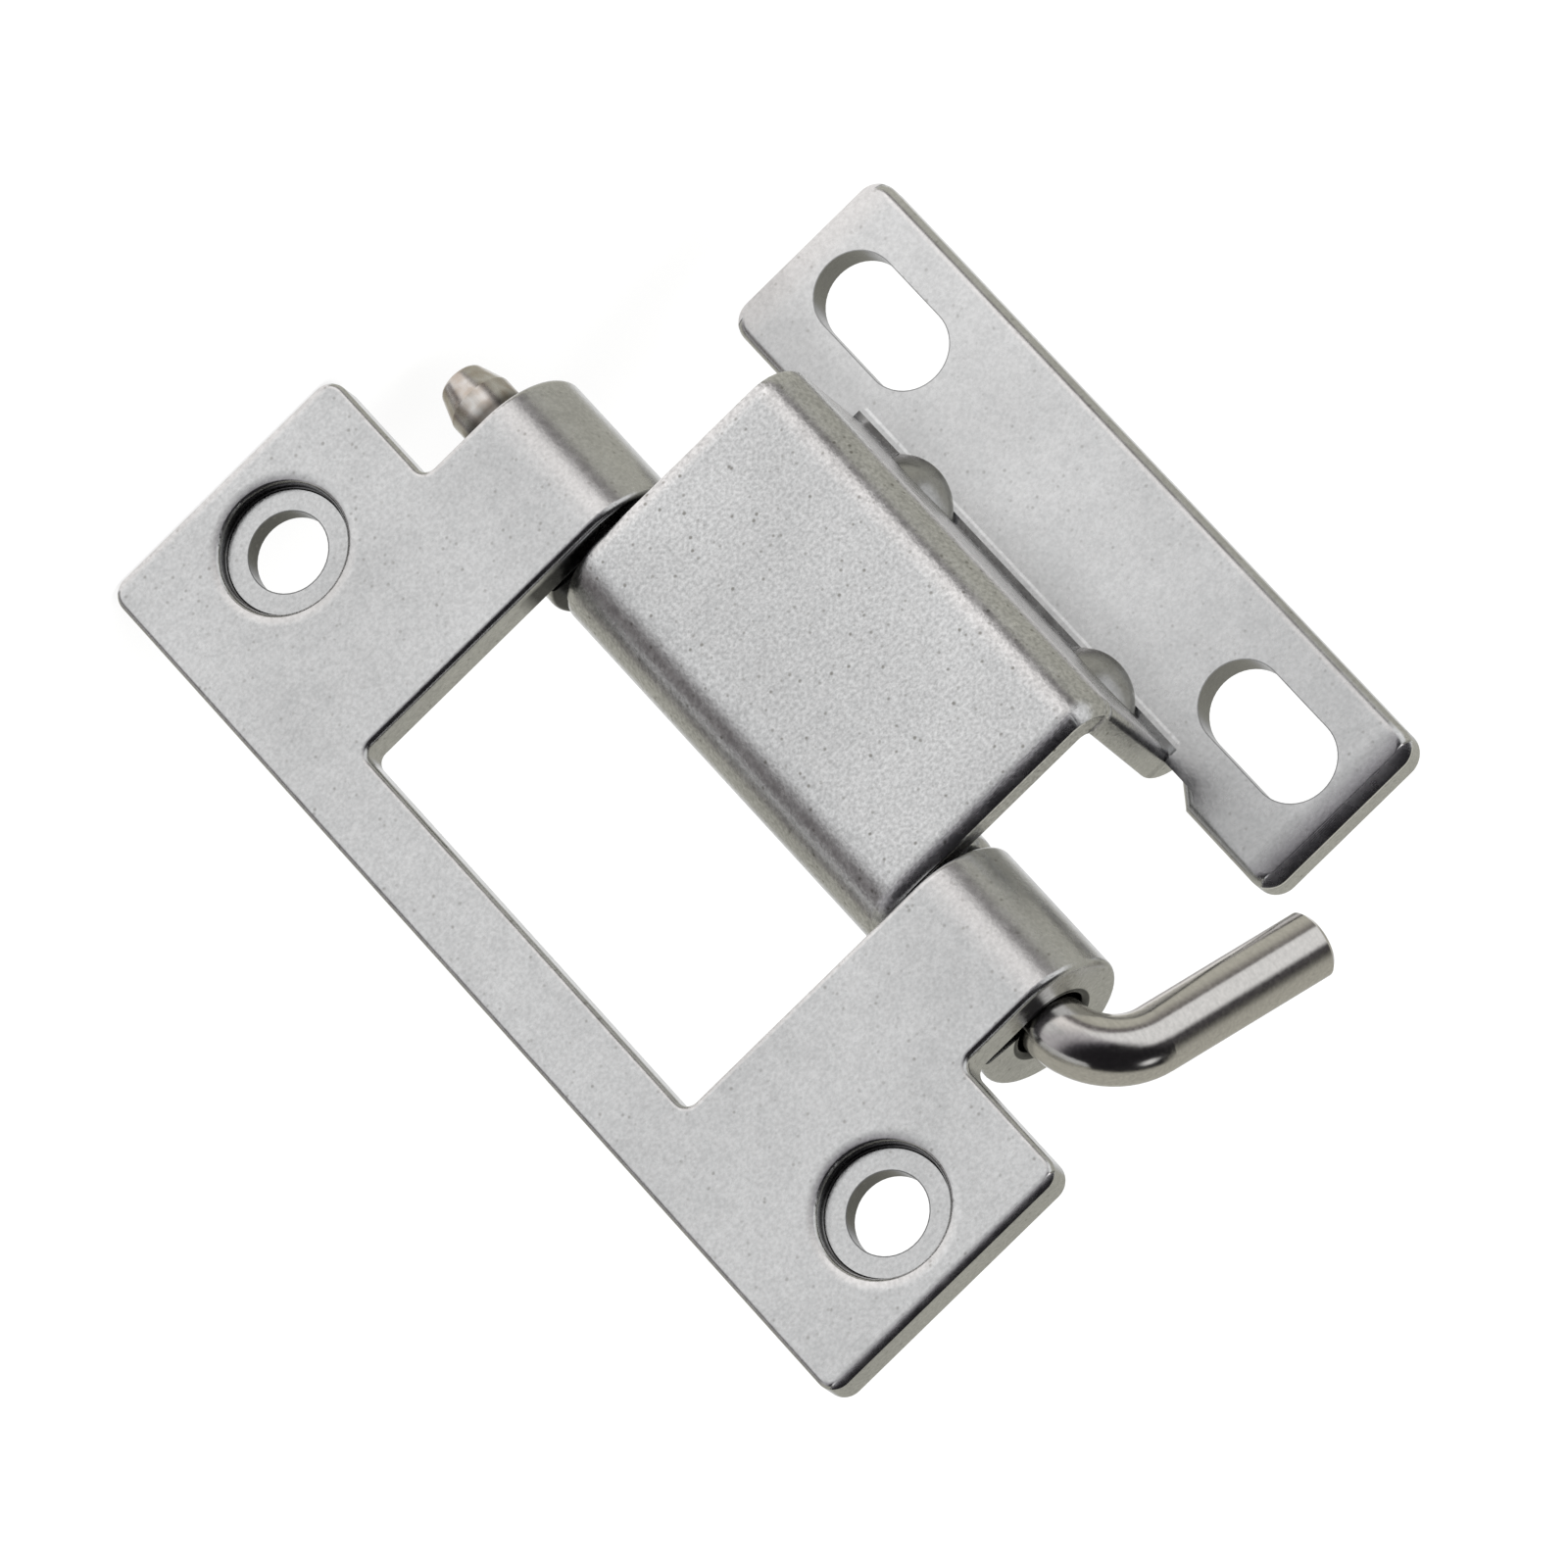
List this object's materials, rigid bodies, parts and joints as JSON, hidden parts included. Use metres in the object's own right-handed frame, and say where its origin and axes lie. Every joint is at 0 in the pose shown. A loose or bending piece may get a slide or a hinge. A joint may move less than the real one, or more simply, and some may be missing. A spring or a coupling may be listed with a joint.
{
  "type": "cabinet hinge",
  "caption": "Cranked cabinet hinge of folded steel: a frame leaf with rolled ears and screw holes, a door leaf with adjusting slots, and a loose pin with a bent handle.",
  "frame": {"origin": "midway between the frame leaf's two screw holes, on that leaf's back face", "axes": "+Z along the pin towards its handle, -Y to the front, +X from the door leaf to the frame leaf"},
  "size_m": [0.0589, 0.018, 0.0824],
  "materials": {
    "frame_leaf": "satin nickel, tumbled",
    "door_leaf": "satin nickel, tumbled, grainier on the bridge",
    "hinge_pin": "polished nickel"
  },
  "bodies": {
    "frame_leaf": {"frame_leaf": "frame_leaf"},
    "door_leaf": {"door_leaf": "door_leaf"},
    "hinge_pin": {"hinge_pin": "hinge_pin"}
  },
  "joints": [
    {"name": "door_swing", "type": "hinge", "parent": "frame_leaf", "child": "door_leaf", "pos_m": [-0.0166, 0.00275, 0], "axis": [0, 0, 1], "range_deg": [-140, 180]},
    {"name": "pin_withdraw", "type": "slide", "parent": "frame_leaf", "child": "hinge_pin", "axis": [0, 0, 1], "range_m": [0, 0.067]}
  ]
}
